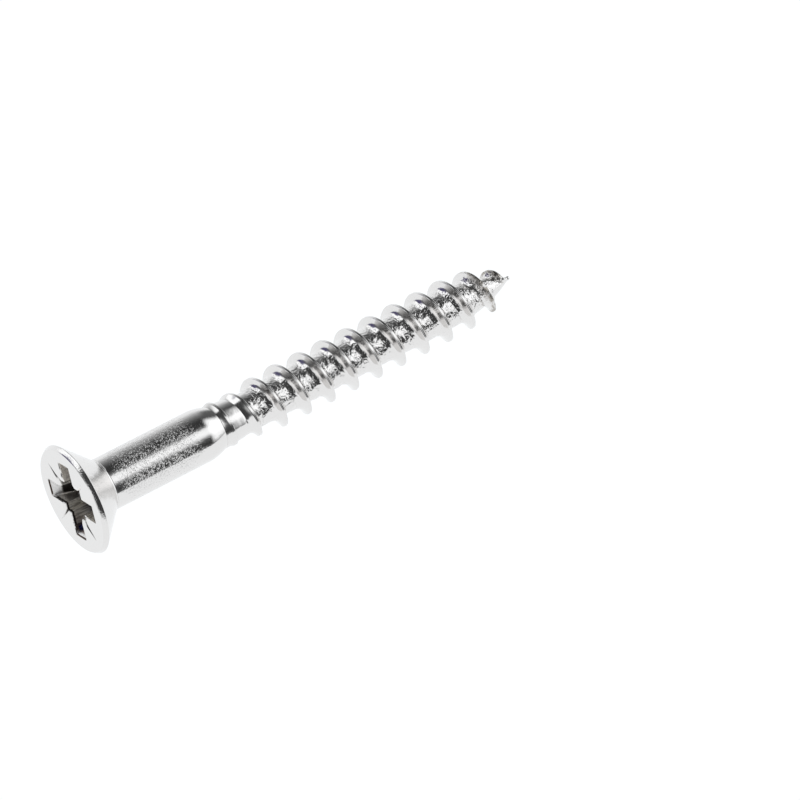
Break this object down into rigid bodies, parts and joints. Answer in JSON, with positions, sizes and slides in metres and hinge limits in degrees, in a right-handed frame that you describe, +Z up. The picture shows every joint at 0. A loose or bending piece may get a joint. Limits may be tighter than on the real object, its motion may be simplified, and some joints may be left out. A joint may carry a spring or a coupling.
{
  "type": "wood screw",
  "caption": "Countersunk wood screw with a cross drive recess, plain shank, coarse right-hand thread and gimlet point.",
  "frame": {"origin": "centre of the head's flat face, on the screw's axis", "axes": "+X along the screw's axis from the head to the point, +Z up with the screw lying on its side"},
  "size_m": [0.04, 0.0088, 0.0088],
  "materials": {
    "bright_plate": "bright zinc plate, mirror-like on the head, fine orange-peel texture on the shank",
    "rolled_plate": "bright zinc plate over rolled thread flanks, darker and mottled in the roots"
  },
  "bodies": {
    "root": {"head": "bright_plate", "shank": "bright_plate", "runout_neck": "bright_plate", "thread_core": "rolled_plate", "gimlet_point": "rolled_plate", "thread": "rolled_plate"}
  },
  "joints": []
}
